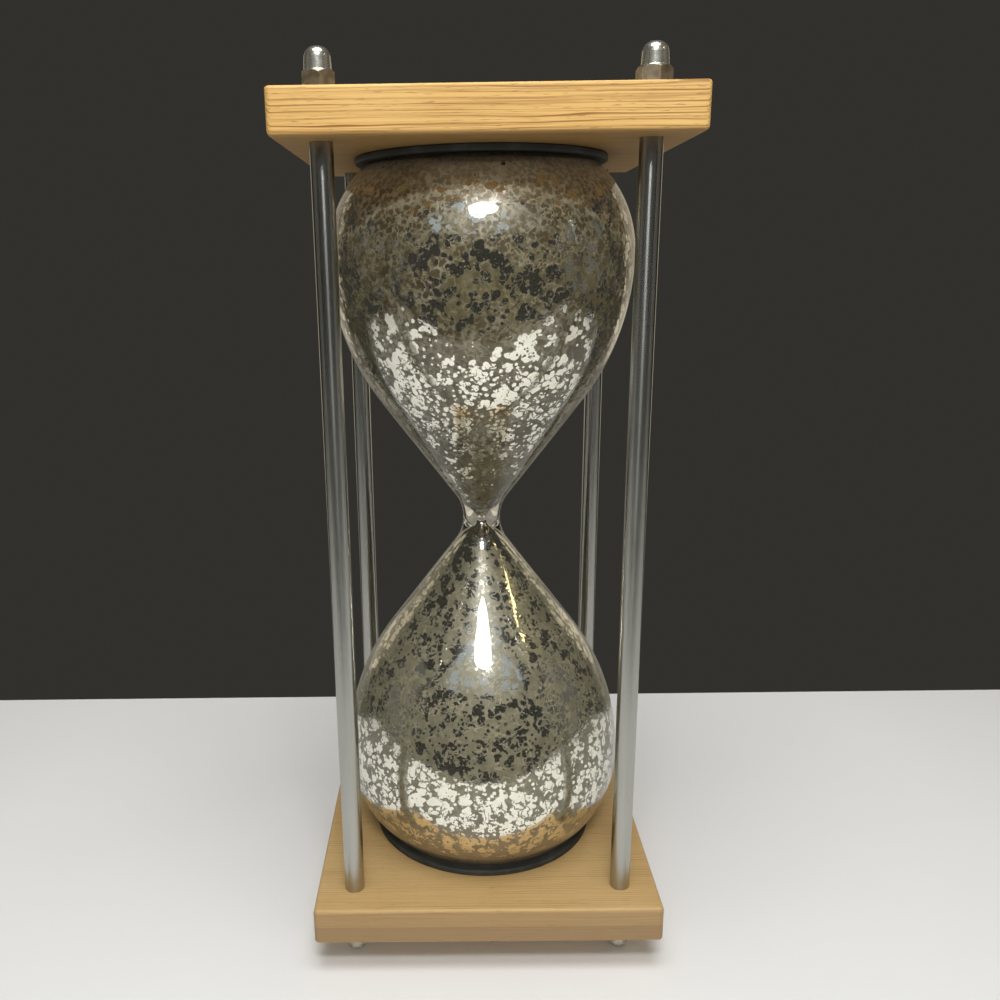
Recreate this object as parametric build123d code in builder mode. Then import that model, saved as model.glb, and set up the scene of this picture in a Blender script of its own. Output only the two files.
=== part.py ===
"""Sand glass in a post frame: two oak plates, four steel posts and one blown, silvered vessel.

Millimetres, +Z up. The origin is on the ground under the centre of the frame, so the four
cap nuts under the bottom plate stand on Z = 0. The front of the frame faces -Y.
"""

import os
from math import acos, atan2, cos, degrees, hypot, radians, sin, sqrt, tan

from build123d import *

# Oak plates
plate_width = 140.0
plate_thickness = 15.0
plate_corner_round = 2.0
plate_outer_round = 1.0
plate_inner_round = 1.8

# Posts: steel tubes that hold the plates apart
post_length = 287.0
post_diameter = 7.94
post_inset = 15.4

# Tie rods: threaded at both ends, one inside each post
rod_diameter = 6.35
rod_clearance = 0.15
rod_end_gap = 1.0
rod_end_chamfer = 0.6

# Cap nuts: chamfered hexagon with a narrower, tapered dome; the lower four are the feet
nut_height = 13.9
nut_hex_height = 6.4
nut_across_flats = 10.6
nut_top_face_diameter = 10.3
nut_hex_chamfer_angle = 45.0
nut_dome_diameter = 9.3
nut_dome_draft = 3.5
nut_dome_root_round = 0.4
nut_tip_round = 3.7
nut_bore_depth = 10.0
nut_turn = 38.0
thread_clearance = 0.05

# Gaskets: flat rubber rings between the glass and the plates
gasket_thickness = 2.5
gasket_outer_diameter = 97.5
gasket_inner_diameter = 66.0
gasket_edge_round = 0.8

# Glass vessel: two bulbs blown in one piece, drawn in to a thick waist
bulb_diameter = 120.5
bulb_shoulder_height = 34.0
bulb_cone_angle = 37.0
bulb_shoulder_arc = 45.0
bulb_end_round = 4.0
bulb_wall = 2.4
waist_diameter = 15.6
waist_arc = 17.0
throat_diameter = 2.4
throat_arc = 7.0

# Sand: all run down, lying in the lower bulb at its angle of rest
sand_wall_depth = 17.0
sand_rest_angle = 31.0
sand_clearance = 0.2

# Heights of the stack, from the ground up
bottom_plate_base = nut_height
post_base = bottom_plate_base + plate_thickness
top_plate_base = post_base + post_length
top_plate_face = top_plate_base + plate_thickness
waist_height = post_base + post_length / 2

post_spacing = plate_width - 2 * post_inset
rod_hole_radius = rod_diameter / 2 + rod_clearance
bulb_length = post_length / 2 - gasket_thickness
belly_height = bulb_length - bulb_shoulder_height

# The belly's arc above the cone, as large as a cone of that angle from the axis leaves room for
cone_angle = radians(bulb_cone_angle)
cone_width = bulb_diameter / 2 - waist_diameter / 2 - waist_arc
cone_rise = belly_height * sin(cone_angle) - cone_width * cos(cone_angle) - waist_arc
bulb_cone_arc = cone_rise / (1 - cos(cone_angle))

corners = {
    "front_left": (-post_spacing / 2, -post_spacing / 2),
    "front_right": (post_spacing / 2, -post_spacing / 2),
    "rear_left": (-post_spacing / 2, post_spacing / 2),
    "rear_right": (post_spacing / 2, post_spacing / 2),
}

os.makedirs("parts", exist_ok=True)


def save(part, name):
    """Label a finished piece and write it to its own file."""
    part.label = name
    export_step(part, f"parts/{name}.step")


def draw_half_bulb(inset, neck_radius, neck_arc):
    """Draw one bulb into the open line, from the waist up to the middle of its flat end.

    The belly, shoulder and end follow the outside of the glass, moved inwards by inset. The cone
    is the straight line that touches the belly's arc and the arc round the neck.
    """
    belly_radius = bulb_diameter / 2 - inset
    cone_arc = bulb_cone_arc - inset
    shoulder_arc = bulb_shoulder_arc - inset
    end_round = bulb_end_round - inset
    end_height = bulb_length - inset

    cone_centre = (belly_radius - cone_arc, belly_height)
    neck_centre = (neck_radius + neck_arc, 0)
    across = neck_centre[0] - cone_centre[0]
    down = neck_centre[1] - cone_centre[1]
    lean = atan2(down, across) + acos((cone_arc + neck_arc) / hypot(across, down))
    cone_top = (cone_centre[0] + cone_arc * cos(lean), cone_centre[1] + cone_arc * sin(lean))
    cone_foot = (neck_centre[0] - neck_arc * cos(lean), neck_centre[1] - neck_arc * sin(lean))

    shoulder_centre = (belly_radius - shoulder_arc, belly_height)
    end_rise = end_height - end_round - belly_height
    end_reach = sqrt((shoulder_arc - end_round) ** 2 - end_rise**2)
    end_centre = (shoulder_centre[0] + end_reach, belly_height + end_rise)
    turn = degrees(atan2(end_rise, end_reach))

    CenterArc(neck_centre, neck_arc, 180, degrees(lean))
    Line(cone_foot, cone_top)
    CenterArc(cone_centre, cone_arc, degrees(lean), -degrees(lean))
    CenterArc(shoulder_centre, shoulder_arc, 0, turn)
    CenterArc(end_centre, end_round, turn, 90 - turn)
    Line((end_centre[0], end_height), (0, end_height))


# Plates: the rounder edge of each one faces the glass
with BuildPart() as bottom_plate:
    with BuildSketch(Plane.XY.offset(bottom_plate_base)):
        RectangleRounded(plate_width, plate_width, plate_corner_round)
    extrude(amount=plate_thickness)
    fillet(bottom_plate.faces().sort_by(Axis.Z)[0].edges(), plate_outer_round)
    fillet(bottom_plate.faces().sort_by(Axis.Z)[-1].edges(), plate_inner_round)
    with BuildSketch(Plane.XY.offset(bottom_plate_base)):
        with GridLocations(post_spacing, post_spacing, 2, 2):
            Circle(rod_hole_radius)
    extrude(amount=plate_thickness, mode=Mode.SUBTRACT)
save(bottom_plate.part, "bottom_plate")

with BuildPart() as top_plate:
    with BuildSketch(Plane.XY.offset(top_plate_base)):
        RectangleRounded(plate_width, plate_width, plate_corner_round)
    extrude(amount=plate_thickness)
    fillet(top_plate.faces().sort_by(Axis.Z)[0].edges(), plate_inner_round)
    fillet(top_plate.faces().sort_by(Axis.Z)[-1].edges(), plate_outer_round)
    with BuildSketch(Plane.XY.offset(top_plate_base)):
        with GridLocations(post_spacing, post_spacing, 2, 2):
            Circle(rod_hole_radius)
    extrude(amount=plate_thickness, mode=Mode.SUBTRACT)
save(top_plate.part, "top_plate")

# Posts stand between the plates
for corner, (x, y) in corners.items():
    with BuildPart() as post:
        with BuildSketch(Plane((x, y, post_base))):
            Circle(post_diameter / 2)
            Circle(rod_hole_radius, mode=Mode.SUBTRACT)
        extrude(amount=post_length)
    save(post.part, f"{corner}_post")

# Tie rods bottom out in the lower nuts and end short in the upper ones
rod_base = bottom_plate_base - nut_bore_depth
rod_length = top_plate_face + nut_bore_depth - rod_end_gap - rod_base
for corner, (x, y) in corners.items():
    with BuildPart() as tie_rod:
        with BuildSketch(Plane((x, y, rod_base))):
            Circle(rod_diameter / 2)
        extrude(amount=rod_length)
        chamfer(tie_rod.edges().filter_by(GeomType.CIRCLE), rod_end_chamfer)
    save(tie_rod.part, f"{corner}_tie_rod")

# Cap nuts, seated on the outer faces of both plates; outward is +1 above the frame, -1 below it
nut_seats = {"bottom": (bottom_plate_base, -1), "top": (top_plate_face, 1)}
hex_top_radius = nut_top_face_diameter / 2
hex_base_radius = hex_top_radius + nut_hex_height / tan(radians(nut_hex_chamfer_angle))

# The dome's side leans in by its draft and touches the arcs at its root and its tip
draft = radians(nut_dome_draft)
side_normal = Vector(cos(draft), sin(draft))
root_radius = nut_dome_diameter / 2 + nut_dome_root_round * (1 - sin(draft)) / cos(draft)
root_centre = Vector(root_radius, nut_hex_height + nut_dome_root_round)
tip_height = nut_height - nut_tip_round
tip_side_radius = nut_dome_diameter / 2 - (tip_height - nut_hex_height) * tan(draft)
tip_radius = tip_side_radius - nut_tip_round / cos(draft)
tip_centre = Vector(tip_radius, tip_height)
side_foot = root_centre - side_normal * nut_dome_root_round
side_top = tip_centre + side_normal * nut_tip_round

for corner, (x, y) in corners.items():
    for end, (seat_height, outward) in nut_seats.items():
        seat = Plane((x, y, seat_height), x_dir=(1, 0, 0), z_dir=(0, 0, outward))
        section = Plane((x, y, seat_height), x_dir=(1, 0, 0), z_dir=(0, -outward, 0))
        nut_axis = Axis((x, y, 0), (0, 0, 1))
        with BuildPart() as cap_nut:
            with BuildSketch(seat):
                RegularPolygon(nut_across_flats / 2, 6, major_radius=False, rotation=nut_turn * outward)
            extrude(amount=nut_hex_height)
            with BuildSketch(section):
                with BuildLine():
                    Polyline(
                        (0, 0),
                        (hex_base_radius, 0),
                        (hex_top_radius, nut_hex_height),
                        (0, nut_hex_height),
                        close=True,
                    )
                make_face()
            revolve(axis=nut_axis, mode=Mode.INTERSECT)
            with BuildSketch(section):
                with BuildLine():
                    Polyline((0, nut_height), (0, 0), (root_radius, 0), (root_radius, nut_hex_height))
                    CenterArc(root_centre, nut_dome_root_round, 180 + nut_dome_draft, 90 - nut_dome_draft)
                    Line(side_foot, side_top)
                    CenterArc(tip_centre, nut_tip_round, nut_dome_draft, 90 - nut_dome_draft)
                    Line((tip_radius, nut_height), (0, nut_height))
                make_face()
            revolve(axis=nut_axis)
            with BuildSketch(seat):
                Circle(rod_diameter / 2 + thread_clearance)
            extrude(amount=nut_bore_depth, mode=Mode.SUBTRACT)
        save(cap_nut.part, f"{corner}_{end}_nut")

# Gaskets lie against the inner faces of the plates
gasket_bases = {"lower_gasket": post_base, "upper_gasket": top_plate_base - gasket_thickness}
for name, base in gasket_bases.items():
    with BuildPart() as gasket:
        with BuildSketch(Plane.XY.offset(base)):
            Circle(gasket_outer_diameter / 2)
            Circle(gasket_inner_diameter / 2, mode=Mode.SUBTRACT)
        extrude(amount=gasket_thickness)
        rims = gasket.edges().filter_by(GeomType.CIRCLE).sort_by(SortBy.RADIUS)
        fillet(rims[-2:], gasket_edge_round)
    save(gasket.part, name)

# Glass vessel: the blown form, less the hollow inside it
waist_plane = Plane((0, 0, waist_height), x_dir=(1, 0, 0), z_dir=(0, -1, 0))
with BuildPart() as glass_vessel:
    with BuildSketch(waist_plane):
        with BuildLine():
            draw_half_bulb(0, waist_diameter / 2, waist_arc)
            mirror(about=Plane.XZ)
            Line((0, bulb_length), (0, -bulb_length))
        make_face()
    revolve(axis=Axis.Z)
    with BuildSketch(waist_plane):
        with BuildLine():
            draw_half_bulb(bulb_wall, throat_diameter / 2, throat_arc)
            mirror(about=Plane.XZ)
            Line((0, bulb_length - bulb_wall), (0, bulb_wall - bulb_length))
        make_face()
    revolve(axis=Axis.Z, mode=Mode.SUBTRACT)
save(glass_vessel.part, "glass_vessel")

# Sand: the lower hollow, cut off by the heap's cone
sand_inset = bulb_wall + sand_clearance
sand_floor = post_base + gasket_thickness + bulb_wall
sand_reach = bulb_diameter / 2
sand_peak = sand_wall_depth + sand_reach * tan(radians(sand_rest_angle))
turned_plane = Plane((0, 0, waist_height - sand_clearance), x_dir=(1, 0, 0), z_dir=(0, 1, 0))
with BuildPart() as sand:
    with BuildSketch(turned_plane):
        with BuildLine():
            draw_half_bulb(sand_inset, throat_diameter / 2, throat_arc)
            Polyline((0, bulb_length - sand_inset), (0, 0), (throat_diameter / 2, 0))
        make_face()
    revolve(axis=Axis.Z)
    with BuildSketch(Plane((0, 0, sand_floor), x_dir=(1, 0, 0), z_dir=(0, -1, 0))):
        Polygon(
            (0, 0),
            (sand_reach, 0),
            (sand_reach, sand_wall_depth),
            (0, sand_peak),
            align=None,
        )
    revolve(axis=Axis.Z, mode=Mode.INTERSECT)
save(sand.part, "sand")
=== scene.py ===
"""Looks of the sand glass: oak plates, drawn steel posts, polished cap nuts and a silvered glass vessel.

Metres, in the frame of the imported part. The plates, posts, nuts, gaskets, rods and sand keep their
solids and get finishes here. The vessel is built again as clear glass with a silver film inside it.
"""

from math import acos, atan2, cos, hypot, pi, radians, sin, sqrt

import bmesh
import bpy
from mathutils import Matrix, Vector


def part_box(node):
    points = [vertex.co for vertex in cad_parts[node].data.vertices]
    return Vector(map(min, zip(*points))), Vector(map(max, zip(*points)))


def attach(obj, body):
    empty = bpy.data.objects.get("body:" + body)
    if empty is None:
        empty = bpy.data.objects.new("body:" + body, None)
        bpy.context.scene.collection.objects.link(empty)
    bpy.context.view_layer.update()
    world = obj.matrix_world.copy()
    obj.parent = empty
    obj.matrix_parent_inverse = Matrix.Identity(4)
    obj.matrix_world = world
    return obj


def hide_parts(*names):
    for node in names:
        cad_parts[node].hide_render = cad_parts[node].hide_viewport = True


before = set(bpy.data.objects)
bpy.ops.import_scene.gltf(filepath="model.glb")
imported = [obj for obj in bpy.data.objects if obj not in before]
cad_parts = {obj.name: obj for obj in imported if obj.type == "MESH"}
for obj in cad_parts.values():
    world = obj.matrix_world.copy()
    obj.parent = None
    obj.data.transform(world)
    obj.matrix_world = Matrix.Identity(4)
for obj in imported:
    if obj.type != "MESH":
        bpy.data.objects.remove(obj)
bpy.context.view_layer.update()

# Camera, solved from the edges of the plates and posts in the photograph
PHOTO_SIZE = 1000.0
FOCAL_PIXELS = 928.04
AXIS_PIXEL = (444.55, 522.52)
CAMERA_PLACE = (-0.01312, -0.38389, 0.27653)
CAMERA_YAW = radians(-0.413)
CAMERA_PITCH = radians(15.559)
CAMERA_ROLL = radians(-0.792)
SENSOR_WIDTH = 36.0

# Glass vessel: its outline, as arcs and one straight flank on each bulb
BULB_RADIUS = 0.06025
BULB_SHOULDER_HEIGHT = 0.034
BULB_CONE_ANGLE = radians(37.0)
BULB_SHOULDER_ARC = 0.045
BULB_END_ROUND = 0.004
BULB_WALL = 0.0024
WAIST_RADIUS = 0.0078
WAIST_ARC = 0.017
THROAT_RADIUS = 0.0012
THROAT_ARC = 0.007

# Its mesh: faces round the axis, and points along each stretch of a bulb's outline
VESSEL_SIDES = 192
NECK_STEPS = 14
FLANK_STEPS = 16
CONE_STEPS = 24
SHOULDER_STEPS = 22
END_ROUND_STEPS = 8
END_STEPS = 4

# Surround: what the camera and mirrors see of it, and the even light that it gives
BACKDROP = (0.031, 0.030, 0.026)
SOFT_LIGHT = (0.10, 0.098, 0.092)

# Table top: the sides of its rectangle and its colour
TABLE_WIDTH = 1.5
TABLE_FRONT = -0.34
TABLE_BACK = 0.18
TABLE_COLOUR = (0.90, 0.895, 0.88)

# Lamps: the key's place, the point that most of them face, and their colours
KEY_PLACE = (0.0, -0.494, 0.687)
LAMP_TARGET = (0.0, 0.0, 0.17)
COOL_WHITE = (0.76, 0.88, 1.0)
SIDE_WHITE = (1.0, 0.97, 0.90)
CREAM = (1.0, 0.92, 0.76)
STRAW = (1.0, 0.88, 0.66)
AMBER = (1.0, 0.82, 0.42)

# Oak: growth rings to the metre
OAK_RINGS = 1050.0

# Cap nuts: height of the hexagon on its plate
NUT_HEX_HEIGHT = 0.0064

# Silver film: it lies in the glass, just outside the hollow, and stops short of the throat
FILM_DEPTH = 0.00006
FILM_THICKNESS = 0.00004
FILM_END = 0.0014

# Size of the film's islands: from one distance from the waist to another it changes by the third value
UPPER_SIZE_CHANGES = (
    (0.080, 0.068, 0.095),
    (0.056, 0.022, -0.18),
    (0.106, 0.120, -0.12),
    (0.128, 0.138, -0.40),
)
LOWER_SIZE_CHANGES = (
    (0.085, 0.110, 0.11),
    (0.114, 0.122, -0.14),
    (0.127, 0.134, -0.50),
)

# Half-shade of the top plate, where the film's web is painted lighter to hide the key lamp's shadow: how
# far its start and end lie from the plane of the plate's edge
HALF_SHADE_START = -0.0026
HALF_SHADE_END = 0.0059

vessel_low, vessel_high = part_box("glass_vessel")
WAIST_HEIGHT = (vessel_low.z + vessel_high.z) / 2
BULB_LENGTH = (vessel_high.z - vessel_low.z) / 2
BELLY_HEIGHT = BULB_LENGTH - BULB_SHOULDER_HEIGHT
CONE_WIDTH = BULB_RADIUS - WAIST_RADIUS - WAIST_ARC
CONE_RISE = BELLY_HEIGHT * sin(BULB_CONE_ANGLE) - CONE_WIDTH * cos(BULB_CONE_ANGLE) - WAIST_ARC
BULB_CONE_ARC = CONE_RISE / (1 - cos(BULB_CONE_ANGLE))

# Plane through the key lamp and the top plate's lower front edge, as height plus slope times depth
plate_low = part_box("top_plate")[0]
SHADE_SLOPE = (KEY_PLACE[2] - plate_low.z) / (plate_low.y - KEY_PLACE[1])
SHADE_EDGE = plate_low.z + SHADE_SLOPE * plate_low.y


class Finish:
    """A material under construction: one Principled surface and the nodes that feed it."""

    def __init__(self, name):
        self.material = bpy.data.materials.new(name)
        self.material.use_nodes = True
        self.tree = self.material.node_tree
        self.tree.nodes.clear()
        self.output = self.tree.nodes.new("ShaderNodeOutputMaterial")
        self.surface = self.tree.nodes.new("ShaderNodeBsdfPrincipled")
        self.tree.links.new(self.surface.outputs["BSDF"], self.output.inputs["Surface"])

    def node(self, kind, inputs=None, **settings):
        """Add a node, with its settings, and fill its inputs with values or other nodes' outputs."""
        node = self.tree.nodes.new(kind)
        for name, value in settings.items():
            setattr(node, name, value)
        self.fill(node, inputs or {})
        return node

    def fill(self, node, inputs):
        """Set a node's inputs, or link them where another node's output is given."""
        for name, value in inputs.items():
            if isinstance(value, bpy.types.NodeSocket):
                self.tree.links.new(value, node.inputs[name])
            else:
                node.inputs[name].default_value = value

    def set(self, **inputs):
        """Fill the surface's inputs; an underscore in a name stands for a space."""
        self.fill(self.surface, {name.replace("_", " "): value for name, value in inputs.items()})

    def place(self, scale=(1, 1, 1), shift=(0, 0, 0)):
        """The point on the part, in metres, stretched and shifted."""
        coordinates = self.node("ShaderNodeTexCoord")
        inputs = {"Vector": coordinates.outputs["Object"], "Scale": scale, "Location": shift}
        return self.node("ShaderNodeMapping", inputs).outputs["Vector"]

    def noise(self, vector, scale, detail=2.0, rough=0.5, colour=False):
        """Cloudy noise, with scale clouds to the metre, as one value or as a colour."""
        inputs = {"Vector": vector, "Scale": scale, "Detail": detail, "Roughness": rough}
        return self.node("ShaderNodeTexNoise", inputs).outputs["Color" if colour else "Fac"]

    def cells(self, vector, scale, feature, output="Distance"):
        """Cells about scattered points, with scale cells to the metre."""
        inputs = {"Vector": vector, "Scale": scale}
        return self.node("ShaderNodeTexVoronoi", inputs, feature=feature).outputs[output]

    def math(self, operation, first, second=0.0):
        """One operation on one or two values."""
        return self.node("ShaderNodeMath", {0: first, 1: second}, operation=operation).outputs[0]

    def span(self, value, low, high, to_low=0.0, to_high=1.0, smooth=True):
        """Map low..high to to_low..to_high, clamped."""
        kind = "SMOOTHSTEP" if smooth else "LINEAR"
        inputs = {"Value": value, "From Min": low, "From Max": high, "To Min": to_low, "To Max": to_high}
        return self.node("ShaderNodeMapRange", inputs, interpolation_type=kind).outputs["Result"]

    def mix(self, factor, first, second):
        """Mix two colours, given as RGB values or outputs."""
        inputs = {0: factor, 6: rgba(first), 7: rgba(second)}
        return self.node("ShaderNodeMix", inputs, data_type="RGBA").outputs[2]

    def push(self, vector, noise, reach):
        """Move a point about by up to half of reach, by a coloured noise."""
        kind = "ShaderNodeVectorMath"
        centred = self.node(kind, {0: noise, 1: (0.5, 0.5, 0.5)}, operation="SUBTRACT").outputs[0]
        scaled = self.node(kind, {0: centred, "Scale": reach}, operation="SCALE").outputs[0]
        return self.node(kind, {0: vector, 1: scaled}, operation="ADD").outputs[0]

    def axes(self, vector):
        """A vector's three values, by the names X, Y and Z."""
        return self.node("ShaderNodeSeparateXYZ", {0: vector}).outputs

    def bump(self, height, distance, strength=1.0):
        """A relief, up to distance high, as a normal."""
        inputs = {"Height": height, "Distance": distance, "Strength": strength}
        return self.node("ShaderNodeBump", inputs).outputs["Normal"]


def rgba(colour):
    """A colour's three values with full alpha, or an output as it is."""
    return colour if isinstance(colour, bpy.types.NodeSocket) else (*colour, 1.0)


def oak(name, plate, pith, shift, contrast, dulled, painted_side_shades, painted_under_shade):
    """Straight-grained oak: rings about a far pith that runs along X, pores drawn out along the grain.

    The pith is given across and above the plate's middle. Dulled greys the whole board. The side shades
    are painted shade on the upper and lower halves of its sides, and the under shade is painted shade on
    the face that looks down.
    """
    f = Finish(name)
    low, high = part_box(plate)
    middle = (low.z + high.z) / 2
    spot = f.place(shift=shift)
    grain = f.place(scale=(1.0, 14.0, 14.0), shift=shift)
    wander = f.push(spot, f.noise(grain, 9.0, 3.0, 0.6, colour=True), 0.0025)
    split = f.axes(wander)
    across = f.math("SUBTRACT", split["Y"], pith[0] + shift[1])
    above = f.math("SUBTRACT", split["Z"], middle + pith[1] + shift[2])
    squares = f.math("ADD", f.math("MULTIPLY", across, across), f.math("MULTIPLY", above, above))
    ring = f.math("FRACT", f.math("MULTIPLY", f.math("SQRT", squares), OAK_RINGS))
    streak = f.math("MULTIPLY", f.span(ring, 0.60, 0.90), f.span(ring, 1.0, 0.93))
    broken = f.noise(f.place(scale=(0.15, 9.0, 9.0), shift=shift), 70.0, 3.0, 0.6)
    streak = f.math("MULTIPLY", streak, f.span(broken, 0.34, 0.60, 0.30, 1.0))
    band = f.noise(f.place(scale=(0.05, 1.0, 1.0), shift=shift), 230.0, 2.0)
    streak = f.math("MULTIPLY", streak, f.span(band, 0.36, 0.62, 0.25, 1.0))
    fibre = f.noise(f.place(scale=(0.2, 22.0, 22.0), shift=shift), 110.0, 3.0, 0.65)
    pores = f.span(f.noise(f.place(scale=(1.0, 16.0, 16.0), shift=shift), 190.0, 1.0), 0.64, 0.72)
    board = f.noise(spot, 16.0, 2.0)
    pale = f.mix(f.span(board, 0.35, 0.65), (0.78, 0.475, 0.150), (0.85, 0.55, 0.200))
    pale = f.mix(dulled, pale, (0.40, 0.30, 0.17))
    lined = f.mix(f.math("MULTIPLY", streak, contrast), pale, (0.30, 0.130, 0.030))
    lined = f.mix(f.span(fibre, 0.40, 0.72, 0.0, 0.55 * contrast), lined, (0.40, 0.195, 0.055))
    lined = f.mix(f.math("MULTIPLY", pores, 0.3 * contrast), lined, (0.20, 0.090, 0.028))
    facing = f.axes(f.node("ShaderNodeTexCoord").outputs["Normal"])["Z"]
    height = f.axes(f.place())["Z"]
    # Painted shade: the upright sides are darkened, by one amount on their upper half and another on
    # their lower half.
    painted_side_shade = f.span(height, middle + 0.0004, middle - 0.0004, *painted_side_shades)
    side = f.math("MULTIPLY", f.span(f.math("ABSOLUTE", facing), 0.8, 0.3), painted_side_shade)
    lined = f.mix(side, lined, (0.30, 0.19, 0.095))
    # Painted shade on the face that looks down.
    lined = f.mix(f.span(facing, -0.3, -0.8, 0.0, painted_under_shade), lined, (0.24, 0.135, 0.045))
    relief = f.math("SUBTRACT", f.math("MULTIPLY", fibre, 0.4), pores)
    f.set(
        Base_Color=lined,
        Roughness=f.span(fibre, 0.3, 0.7, 0.46, 0.58),
        Specular_IOR_Level=0.32,
        Normal=f.bump(relief, 0.00012, 0.6),
    )
    return f.material


def post_steel():
    """Steel tube, brushed round and round, so that its shine draws out into lines along it."""
    f = Finish("post_steel")
    drawn = f.noise(f.place(scale=(140.0, 140.0, 1.0)), 16.0, 2.0, 0.5)
    haze = f.noise(f.place(scale=(1.0, 1.0, 0.4)), 40.0, 2.0)
    f.set(
        Base_Color=f.mix(drawn, (0.43, 0.43, 0.395), (0.52, 0.52, 0.48)),
        Metallic=1.0,
        Roughness=f.span(haze, 0.3, 0.7, 0.22, 0.26),
        Anisotropic=0.95,
        Anisotropic_Rotation=0.25,
        Tangent=f.node("ShaderNodeTangent", direction_type="RADIAL", axis="Z").outputs[0],
    )
    return f.material


def rod_steel():
    """Plain rolled steel with a faint rolling mark."""
    f = Finish("rod_steel")
    rolled = f.noise(f.place(scale=(1.0, 1.0, 60.0)), 30.0, 2.0)
    f.set(
        Base_Color=f.mix(rolled, (0.40, 0.39, 0.38), (0.52, 0.51, 0.50)),
        Metallic=1.0,
        Roughness=f.span(rolled, 0.3, 0.7, 0.32, 0.42),
    )
    return f.material


def nut_chrome():
    """Plated nuts: a polished dome on a hexagon that is duller and browner."""
    f = Finish("nut_chrome")
    spot = f.place()
    marks = f.noise(spot, 900.0, 3.0, 0.65)
    haze = f.noise(spot, 260.0, 3.0, 0.6)
    hex_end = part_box("front_left_top_nut")[0].z + NUT_HEX_HEIGHT - WAIST_HEIGHT
    from_waist = f.math("ABSOLUTE", f.math("SUBTRACT", f.axes(spot)["Z"], WAIST_HEIGHT))
    flats = f.span(from_waist, hex_end + 0.0002, hex_end - 0.0002)
    dome = f.mix(haze, (0.58, 0.55, 0.46), (0.70, 0.67, 0.58))
    worn = f.mix(f.span(haze, 0.35, 0.65), (0.32, 0.255, 0.155), (0.52, 0.44, 0.31))
    dome_gloss = f.span(marks, 0.35, 0.7, 0.22, 0.30)
    f.set(
        Base_Color=f.mix(flats, dome, worn),
        Metallic=0.90,
        Roughness=f.math("ADD", dome_gloss, f.math("MULTIPLY", flats, 0.12)),
        Normal=f.bump(haze, 0.00003, 0.10),
    )
    return f.material


def gasket_rubber():
    """Matt black rubber, a little dusty."""
    f = Finish("gasket_rubber")
    grain = f.noise(f.place(), 2600.0, 2.0)
    dust = f.noise(f.place(), 120.0, 4.0, 0.65)
    f.set(
        Base_Color=f.mix(f.span(dust, 0.40, 0.75), (0.032, 0.033, 0.029), (0.070, 0.071, 0.062)),
        Roughness=f.span(dust, 0.3, 0.7, 0.55, 0.75),
        Specular_IOR_Level=0.35,
        Normal=f.bump(grain, 0.00005, 0.5),
    )
    return f.material


def sand_grains():
    """Fine pale sand."""
    f = Finish("sand_grains")
    shade = f.cells(f.place(), 2200.0, "F1", "Color")
    lump = f.cells(f.place(), 2200.0, "F1")
    f.set(
        Base_Color=f.mix(shade, (0.55, 0.42, 0.26), (0.78, 0.67, 0.50)),
        Roughness=f.span(lump, 0.0, 0.6, 0.9, 0.75),
        Normal=f.bump(lump, 0.0003, 0.8),
    )
    return f.material


def silver_film():
    """Mirror islands of round drops that have run together, in a satin, lacy web; at the lower end the
    web is painted as a golden reflection of the oak, and under the top plate it is painted lighter.
    """
    f = Finish("silver_film")
    spot = f.place()
    ragged = f.push(spot, f.noise(spot, 1400.0, 2.0, colour=True), 0.0005)
    along = f.axes(ragged)
    height = along["Z"]
    from_waist = f.math("ABSOLUTE", f.math("SUBTRACT", height, WAIST_HEIGHT))
    is_upper = f.span(height, WAIST_HEIGHT - 0.001, WAIST_HEIGHT + 0.001)
    tucked = f.math("ADD", height, f.math("MULTIPLY", along["Y"], SHADE_SLOPE))
    shaded = f.span(tucked, SHADE_EDGE + HALF_SHADE_START, SHADE_EDGE + HALF_SHADE_END)
    islands = film_islands(f, spot, ragged, from_waist, is_upper)
    mottle = f.noise(spot, 300.0, 3.0, 0.6)
    fine = f.span(mottle, 0.3, 0.7)
    lower = f.mix(fine, (0.175, 0.160, 0.106), (0.260, 0.241, 0.166))
    # Painted reflection: near the lower end the web is painted the golden brown of the oak base that the
    # film mirrors there.
    lower = f.mix(f.span(from_waist, 0.112, 0.124, 0.0, 0.8), lower, (0.37, 0.265, 0.145))
    web = f.mix(is_upper, lower, upper_web(f, spot, shaded, from_waist, fine))
    contour = f.math("ABSOLUTE", f.math("SUBTRACT", f.noise(ragged, 250.0, 2.0), 0.5))
    laced = f.span(f.noise(spot, 130.0, 2.0), 0.42, 0.56, 0.0, 0.75)
    lace = f.math("MULTIPLY", f.span(contour, 0.032, 0.004), laced)
    web = f.mix(lace, web, (0.40, 0.36, 0.25))
    mirror = f.mix(fine, (0.93, 0.91, 0.82), (0.98, 0.965, 0.885))
    f.set(
        Base_Color=f.mix(islands, web, mirror),
        Metallic=f.span(islands, 0.0, 1.0, 0.20, 1.0, smooth=False),
        Roughness=f.span(islands, 0.0, 1.0, 0.42, 0.06, smooth=False),
        Normal=f.bump(mottle, 0.0004, 0.12),
    )
    return f.material


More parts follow.
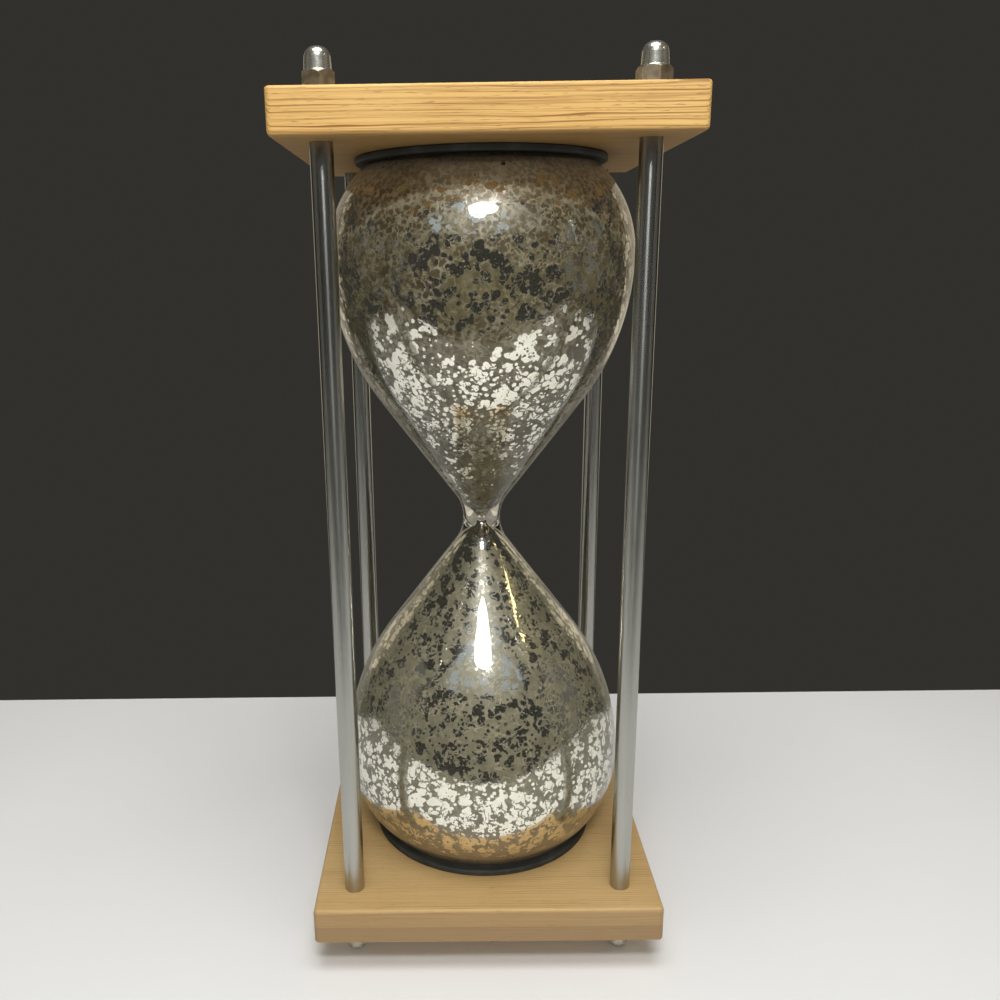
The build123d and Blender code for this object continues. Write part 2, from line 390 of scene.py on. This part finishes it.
def upper_web(f, spot, shaded, from_waist, fine):
    """The upper bulb's web: olive, stained, frosted, a pale net of brown drops on the shoulder, and
    painted light in the top plate's shade.
    """
    web = f.mix(fine, (0.100, 0.084, 0.036), (0.210, 0.180, 0.092))
    stain = f.span(f.noise(spot, 75.0, 3.0, 0.6), 0.48, 0.66, 0.0, 0.6)
    web = f.mix(stain, web, (0.065, 0.046, 0.020))
    patches = f.span(f.noise(spot, 60.0, 2.0), 0.42, 0.56)
    frost = f.math("MULTIPLY", patches, f.span(f.noise(spot, 520.0, 3.0, 0.6), 0.45, 0.60, 0.0, 0.85))
    web = f.mix(frost, web, (0.36, 0.325, 0.245))
    dropped = f.cells(f.push(spot, f.noise(spot, 420.0, 2.0, colour=True), 0.0020), 520.0, "F1")
    threads = f.span(dropped, 0.47, 0.58)
    dust = f.span(f.noise(spot, 700.0, 3.0, 0.6), 0.38, 0.62)
    pale = f.mix(dust, (0.145, 0.124, 0.070), (0.28, 0.252, 0.170))
    net = f.mix(threads, (0.072, 0.051, 0.021), pale)
    scattered = f.span(f.noise(spot, 48.0, 2.0), 0.48, 0.60)
    netted = f.math("MAXIMUM", f.span(from_waist, 0.094, 0.114), scattered)
    netted = f.math("MULTIPLY", netted, f.span(f.noise(spot, 150.0, 2.0), 0.36, 0.52, 0.35, 0.95))
    web = f.mix(netted, web, net)
    hoary = f.math("MULTIPLY", threads, f.span(f.noise(spot, 44.0, 3.0), 0.56, 0.68, 0.0, 0.60))
    web = f.mix(hoary, web, f.mix(dust, (0.26, 0.235, 0.18), (0.50, 0.47, 0.38)))
    # Painted light: under the top plate, where the key lamp's shadow falls, the web takes a paler copy
    # so that the shadow doesn't show.
    painted_light_under_plate = f.math("MULTIPLY", shaded, f.span(from_waist, 0.098, 0.114))
    return f.mix(painted_light_under_plate, web, web_with_painted_light(f, spot, from_waist, threads, dust))


def web_with_painted_light(f, spot, from_waist, threads, dust):
    """Painted light: a much paler copy of the net for the top plate's shade, smeared in places, and
    palest near the gasket, where painted light also lifts the shade of the corner.
    """
    brown_drops = f.mix(dust, (0.32, 0.22, 0.105), (0.50, 0.37, 0.205))
    white_threads = f.mix(dust, (0.76, 0.66, 0.47), (0.98, 0.90, 0.70))
    smeared = f.mix(dust, (0.50, 0.39, 0.23), (0.86, 0.75, 0.54))
    clear = f.span(f.noise(spot, 110.0, 2.0), 0.38, 0.58, 0.60, 1.0)
    painted_light_net = f.mix(clear, smeared, f.mix(threads, brown_drops, white_threads))
    # Painted light: right under the gasket, where shade gathers in the corner, the net is painted
    # palest.
    return f.mix(f.span(from_waist, 0.127, 0.137, 0.0, 0.60), painted_light_net, (0.98, 0.90, 0.72))


def film_islands(f, spot, ragged, from_waist, is_upper):
    """Where the film is a mirror: drops that gather in clusters, parted by a fine net of threads."""
    wandering = f.push(spot, f.noise(spot, 190.0, 2.0, colour=True), 0.004)
    crowd = f.span(f.noise(spot, 42.0, 2.0), 0.35, 0.65, -0.10, 0.10)
    upper_size = f.span(f.cells(wandering, 150.0, "F1"), 0.20, 0.66, 0.84, 0.25, smooth=False)
    upper_size = f.math("ADD", upper_size, crowd)
    for start, end, change in UPPER_SIZE_CHANGES:
        upper_size = f.math("ADD", upper_size, f.span(from_waist, start, end, 0.0, change))
    lower_size = f.span(f.cells(wandering, 200.0, "F1"), 0.25, 0.68, 0.96, 0.32, smooth=False)
    for start, end, change in LOWER_SIZE_CHANGES:
        lower_size = f.math("ADD", lower_size, f.span(from_waist, start, end, 0.0, change))
    share = f.math("MULTIPLY", f.math("SUBTRACT", upper_size, lower_size), is_upper)
    size = f.math("ADD", lower_size, share)
    small_drops = f.cells(ragged, 500.0, "F1")
    large = f.math("MULTIPLY", is_upper, f.span(from_waist, 0.066, 0.078))
    larger = f.math("MULTIPLY", f.math("SUBTRACT", f.cells(ragged, 380.0, "F1"), small_drops), large)
    drops = f.math("ADD", small_drops, larger)
    islands = f.span(f.math("SUBTRACT", size, drops), 0.0, 0.04)
    pits = f.span(f.noise(spot, 110.0, 2.0), 0.40, 0.65, 0.0, 0.32, smooth=False)
    unpitted = f.span(f.math("SUBTRACT", f.cells(ragged, 700.0, "F1"), pits), 0.0, 0.05)
    islands = f.math("MULTIPLY", islands, unpitted)
    strayed = f.push(spot, f.noise(spot, 420.0, 3.0, colour=True), 0.0040)
    width = f.span(f.noise(spot, 150.0, 2.0), 0.42, 0.62, 0.06, -0.03)
    width = f.math("SUBTRACT", width, f.math("MULTIPLY", large, 0.045))
    net = f.math("SUBTRACT", f.cells(strayed, 260.0, "DISTANCE_TO_EDGE"), width)
    islands = f.math("MULTIPLY", islands, f.span(net, 0.0, 0.025))
    tip_edge = f.math("ADD", from_waist, f.span(f.noise(spot, 230.0, 2.0), 0.3, 0.7, -0.007, 0.007))
    tip = f.math("MULTIPLY", f.span(tip_edge, 0.0165, 0.0160), f.math("SUBTRACT", 1.0, is_upper))
    return f.math("MAXIMUM", islands, tip)


def clear_glass():
    """Clear blown glass with a faint ripple and a thin haze; lamps reach the film through it."""
    f = Finish("clear_glass")
    ripple = f.noise(f.place(scale=(1.0, 1.0, 0.35)), 45.0, 1.0)
    f.set(
        Base_Color=(0.975, 0.968, 0.915, 1.0),
        Roughness=0.0,
        IOR=1.5,
        Transmission_Weight=1.0,
        Coat_Weight=0.30,
        Coat_Roughness=0.30,
        Normal=f.bump(ripple, 0.0006, 0.08),
    )
    path = f.node("ShaderNodeLightPath")
    clear = f.node("ShaderNodeBsdfTransparent", {"Color": (0.93, 0.92, 0.89, 1.0)})
    inputs = {0: path.outputs["Is Shadow Ray"], 1: f.surface.outputs["BSDF"], 2: clear.outputs["BSDF"]}
    mixed = f.node("ShaderNodeMixShader", inputs)
    f.tree.links.new(mixed.outputs["Shader"], f.output.inputs["Surface"])
    return f.material


def arc(centre, radius, start, sweep, steps):
    """Points along an arc, without its last one."""
    turns = [start + sweep * step / steps for step in range(steps)]
    return [(centre[0] + radius * cos(turn), centre[1] + radius * sin(turn)) for turn in turns]


def half_bulb(inset, neck_radius, neck_arc):
    """One bulb's outline, as (radius, height above the waist), from the waist to its end's middle."""
    belly_radius = BULB_RADIUS - inset
    cone_arc = BULB_CONE_ARC - inset
    shoulder_arc = BULB_SHOULDER_ARC - inset
    end_round = BULB_END_ROUND - inset
    end_height = BULB_LENGTH - inset
    cone_centre = (belly_radius - cone_arc, BELLY_HEIGHT)
    neck_centre = (neck_radius + neck_arc, 0.0)
    across = neck_centre[0] - cone_centre[0]
    down = neck_centre[1] - cone_centre[1]
    lean = atan2(down, across) + acos((cone_arc + neck_arc) / hypot(across, down))
    cone_top = (cone_centre[0] + cone_arc * cos(lean), cone_centre[1] + cone_arc * sin(lean))
    cone_foot = (neck_centre[0] - neck_arc * cos(lean), neck_centre[1] - neck_arc * sin(lean))
    shoulder_centre = (belly_radius - shoulder_arc, BELLY_HEIGHT)
    end_rise = end_height - end_round - BELLY_HEIGHT
    end_reach = sqrt((shoulder_arc - end_round) ** 2 - end_rise**2)
    end_centre = (shoulder_centre[0] + end_reach, BELLY_HEIGHT + end_rise)
    turn = atan2(end_rise, end_reach)
    points = arc(neck_centre, neck_arc, pi, lean, NECK_STEPS)
    points += line(cone_foot, cone_top, FLANK_STEPS)
    points += arc(cone_centre, cone_arc, lean, -lean, CONE_STEPS)
    points += arc(shoulder_centre, shoulder_arc, 0.0, turn, SHOULDER_STEPS)
    points += arc(end_centre, end_round, turn, pi / 2 - turn, END_ROUND_STEPS)
    points += line((end_centre[0], end_height), (0.0, end_height), END_STEPS)
    return points + [(0.0, end_height)]


def line(start, end, steps):
    """Points along a straight line, without its last one."""
    shares = [step / steps for step in range(steps)]
    return [(start[0] + (end[0] - start[0]) * s, start[1] + (end[1] - start[1]) * s) for s in shares]


def turned(name, outlines, sides, flip=1.0):
    """A body turned about the waist's axis, from outlines that start and end on it.

    A flip of -1 turns the heights over.
    """
    bm = bmesh.new()
    for outline in outlines:
        rings = []
        for radius, height in outline:
            z = WAIST_HEIGHT + flip * height
            if radius == 0.0:
                rings.append([bm.verts.new((0.0, 0.0, z))])
                continue
            turns = [2 * pi * side / sides for side in range(sides)]
            rings.append([bm.verts.new((radius * cos(t), radius * sin(t), z)) for t in turns])
        for lower, upper in zip(rings, rings[1:]):
            join_rings(bm, lower, upper, sides)
    bmesh.ops.recalc_face_normals(bm, faces=bm.faces)
    for face in bm.faces:
        face.smooth = True
    mesh = bpy.data.meshes.new(name)
    bm.to_mesh(mesh)
    bm.free()
    piece = bpy.data.objects.new(name, mesh)
    bpy.context.scene.collection.objects.link(piece)
    return piece


def join_rings(bm, lower, upper, sides):
    """Faces between two rings of points, either of which may be a single point on the axis."""
    for side in range(sides):
        after = (side + 1) % sides
        if len(lower) == 1:
            bm.faces.new((lower[0], upper[after], upper[side]))
        elif len(upper) == 1:
            bm.faces.new((lower[side], lower[after], upper[0]))
        else:
            bm.faces.new((lower[side], lower[after], upper[after], upper[side]))


def mirrored(half):
    """A whole vessel's outline from one bulb's, from end to end."""
    below = [(radius, -height) for radius, height in reversed(half)]
    return below + half[1:]


def glass_shell(finish):
    """The clear glass: outside and hollow of both bulbs in one piece."""
    outside = mirrored(half_bulb(0.0, WAIST_RADIUS, WAIST_ARC))
    hollow = mirrored(half_bulb(BULB_WALL, THROAT_RADIUS, THROAT_ARC))
    shell = turned("glass_shell", [outside, hollow], VESSEL_SIDES)
    shell.data.materials.append(finish)
    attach(shell, "root")
    return shell


def film(name, finish, flip):
    """The silver film in one bulb, from the throat to the middle of the bulb's end."""
    outer = half_bulb(BULB_WALL - FILM_DEPTH, THROAT_RADIUS + FILM_DEPTH, THROAT_ARC)
    inside = FILM_DEPTH - FILM_THICKNESS
    inner = half_bulb(BULB_WALL - inside, THROAT_RADIUS + inside, THROAT_ARC)
    outer = [point for point in outer if point[1] >= FILM_END]
    inner = [point for point in inner if point[1] >= FILM_END]
    outline = list(reversed(inner)) + outer
    piece = turned(name, [outline], VESSEL_SIDES, flip)
    piece.data.materials.append(finish)
    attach(piece, "root")


def table(name, colour):
    """A plain pale table top under the part; its front edge is near, as the glass mirrors it."""
    left, right = -TABLE_WIDTH / 2, TABLE_WIDTH / 2
    bm = bmesh.new()
    corners = [(left, TABLE_FRONT), (right, TABLE_FRONT), (right, TABLE_BACK), (left, TABLE_BACK)]
    bm.faces.new([bm.verts.new((x, y, 0.0)) for x, y in corners])
    mesh = bpy.data.meshes.new(name)
    bm.to_mesh(mesh)
    bm.free()
    top = bpy.data.objects.new(name, mesh)
    bpy.context.scene.collection.objects.link(top)
    f = Finish(name)
    cloud = f.noise(f.place(), 12.0, 3.0)
    f.set(
        Base_Color=f.mix(cloud, colour, [0.96 * c for c in colour]),
        Roughness=0.6,
        Specular_IOR_Level=0.3,
    )
    top.data.materials.append(f.material)


def softbox(name, place, target, width, height, radiance, colour=(1.0, 1.0, 1.0)):
    """A round-edged lamp that faces a point; radiance is how bright it looks."""
    lamp = bpy.data.lights.new(name, "AREA")
    lamp.shape = "ELLIPSE"
    lamp.size = width
    lamp.size_y = height
    lamp.energy = radiance * pi * width * height * pi / 4
    lamp.color = colour
    box = bpy.data.objects.new(name, lamp)
    box.location = place
    box.rotation_euler = (Vector(target) - Vector(place)).to_track_quat("-Z", "Y").to_euler()
    box.visible_camera = False
    bpy.context.scene.collection.objects.link(box)
    return box


def surround():
    """A plain dark backdrop, as seen and as mirrored; matt surfaces get an even, soft light."""
    world = bpy.data.worlds.new("surround")
    bpy.context.scene.world = world
    world.use_nodes = True
    tree = world.node_tree
    path = tree.nodes.new("ShaderNodeLightPath")
    seen = path.outputs["Is Camera Ray"]
    for ray in ("Is Glossy Ray", "Is Transmission Ray"):
        either = tree.nodes.new("ShaderNodeMath")
        either.operation = "MAXIMUM"
        tree.links.new(seen, either.inputs[0])
        tree.links.new(path.outputs[ray], either.inputs[1])
        seen = either.outputs[0]
    choice = tree.nodes.new("ShaderNodeMix")
    choice.data_type = "RGBA"
    tree.links.new(seen, choice.inputs[0])
    choice.inputs[6].default_value = (*SOFT_LIGHT, 1.0)
    choice.inputs[7].default_value = (*BACKDROP, 1.0)
    tree.links.new(choice.outputs[2], tree.nodes["Background"].inputs["Color"])


def studio():
    """A bright lamp above the camera with a wide, dim one behind and below it, and lesser ones.

    The two fills are large and soft, and mirrors don't show them.
    """
    below_overhead = (0.0, -0.25, 0.0)
    above_rear_low = (0.0, 0.35, 0.40)
    softbox("key_core", KEY_PLACE, LAMP_TARGET, 0.21, 0.122, 32.0)
    softbox("key_rim", (0.0, -0.540, 0.630), LAMP_TARGET, 1.10, 0.34, 0.36, COOL_WHITE)
    softbox("warm_spot", (0.64, -0.23, 0.755), LAMP_TARGET, 0.14, 0.018, 26.0, AMBER)
    softbox("overhead", (0.0, -0.25, 1.20), below_overhead, 0.8, 0.6, 6.0)
    softbox("rear_left", (-0.75, 1.1, 0.35), LAMP_TARGET, 0.8, 1.0, 0.40, STRAW)
    softbox("rear_right", (0.75, 1.1, 0.35), LAMP_TARGET, 0.8, 1.0, 0.45, STRAW)
    softbox("rear_low", (0.0, 0.75, -0.02), above_rear_low, 1.6, 0.7, 0.20, CREAM)
    softbox("side_left", (-1.2, -0.25, 0.40), LAMP_TARGET, 1.0, 0.9, 0.075, SIDE_WHITE)
    softbox("side_right", (1.2, -0.25, 0.40), LAMP_TARGET, 1.0, 0.9, 0.075, SIDE_WHITE)
    front_fill = softbox("front_fill", (0.0, -1.0, 0.32), LAMP_TARGET, 1.4, 0.8, 1.05)
    rear_fill = softbox("rear_fill", (0.0, 1.1, 0.60), LAMP_TARGET, 1.2, 0.8, 0.5)
    for fill in (front_fill, rear_fill):
        fill.visible_glossy = False
        fill.visible_transmission = False


def camera():
    """The photograph's viewpoint; its frame is off the lens axis, so the lens is shifted."""
    forward = Vector((
        sin(CAMERA_YAW) * cos(CAMERA_PITCH),
        cos(CAMERA_YAW) * cos(CAMERA_PITCH),
        -sin(CAMERA_PITCH),
    ))
    level = Vector((cos(CAMERA_YAW), -sin(CAMERA_YAW), 0.0))
    upright = level.cross(forward)
    right = level * cos(CAMERA_ROLL) + upright * sin(CAMERA_ROLL)
    up = upright * cos(CAMERA_ROLL) - level * sin(CAMERA_ROLL)
    lens = bpy.data.cameras.new("camera")
    lens.sensor_fit = "HORIZONTAL"
    lens.sensor_width = SENSOR_WIDTH
    lens.lens = SENSOR_WIDTH * FOCAL_PIXELS / PHOTO_SIZE
    lens.shift_x = 0.5 - AXIS_PIXEL[0] / PHOTO_SIZE
    lens.shift_y = AXIS_PIXEL[1] / PHOTO_SIZE - 0.5
    lens.clip_start = 0.01
    viewer = bpy.data.objects.new("camera", lens)
    turn = Matrix((right, up, -forward)).transposed().to_4x4()
    viewer.matrix_world = Matrix.Translation(CAMERA_PLACE) @ turn
    bpy.context.scene.collection.objects.link(viewer)
    bpy.context.scene.camera = viewer


def dress(node, finish):
    """Give a solid of the frame its finish."""
    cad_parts[node].material_slots[0].material = finish


def dress_solids():
    """Finishes of every solid that keeps its own shape."""
    oak_top = oak(
        "oak_top",
        "top_plate",
        pith=(0.17, -0.15),
        shift=(0.3, 0.1, 0.2),
        contrast=1.3,
        dulled=0.0,
        painted_side_shades=(0.0, 0.0),
        painted_under_shade=0.75,
    )
    oak_bottom = oak(
        "oak_bottom",
        "bottom_plate",
        pith=(0.18, -0.20),
        shift=(1.7, 0.4, 0.9),
        contrast=0.60,
        dulled=0.54,
        painted_side_shades=(0.55, 0.84),
        painted_under_shade=0.0,
    )
    dress("top_plate", oak_top)
    dress("bottom_plate", oak_bottom)
    shared = {
        "_post": post_steel(),
        "_tie_rod": rod_steel(),
        "_nut": nut_chrome(),
        "_gasket": gasket_rubber(),
    }
    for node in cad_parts:
        for ending, finish in shared.items():
            if node.endswith(ending):
                dress(node, finish)
    dress("sand", sand_grains())


def build_vessel():
    """The glass and its film stand for the vessel's solid."""
    silver = silver_film()
    shell = glass_shell(clear_glass())
    film("upper_film", silver, 1.0)
    film("lower_film", silver, -1.0)
    dress("glass_vessel", silver)
    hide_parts("glass_vessel")


bpy.context.scene.view_settings.view_transform = "Standard"
dress_solids()
build_vessel()
table("table_top", TABLE_COLOUR)
surround()
studio()
camera()
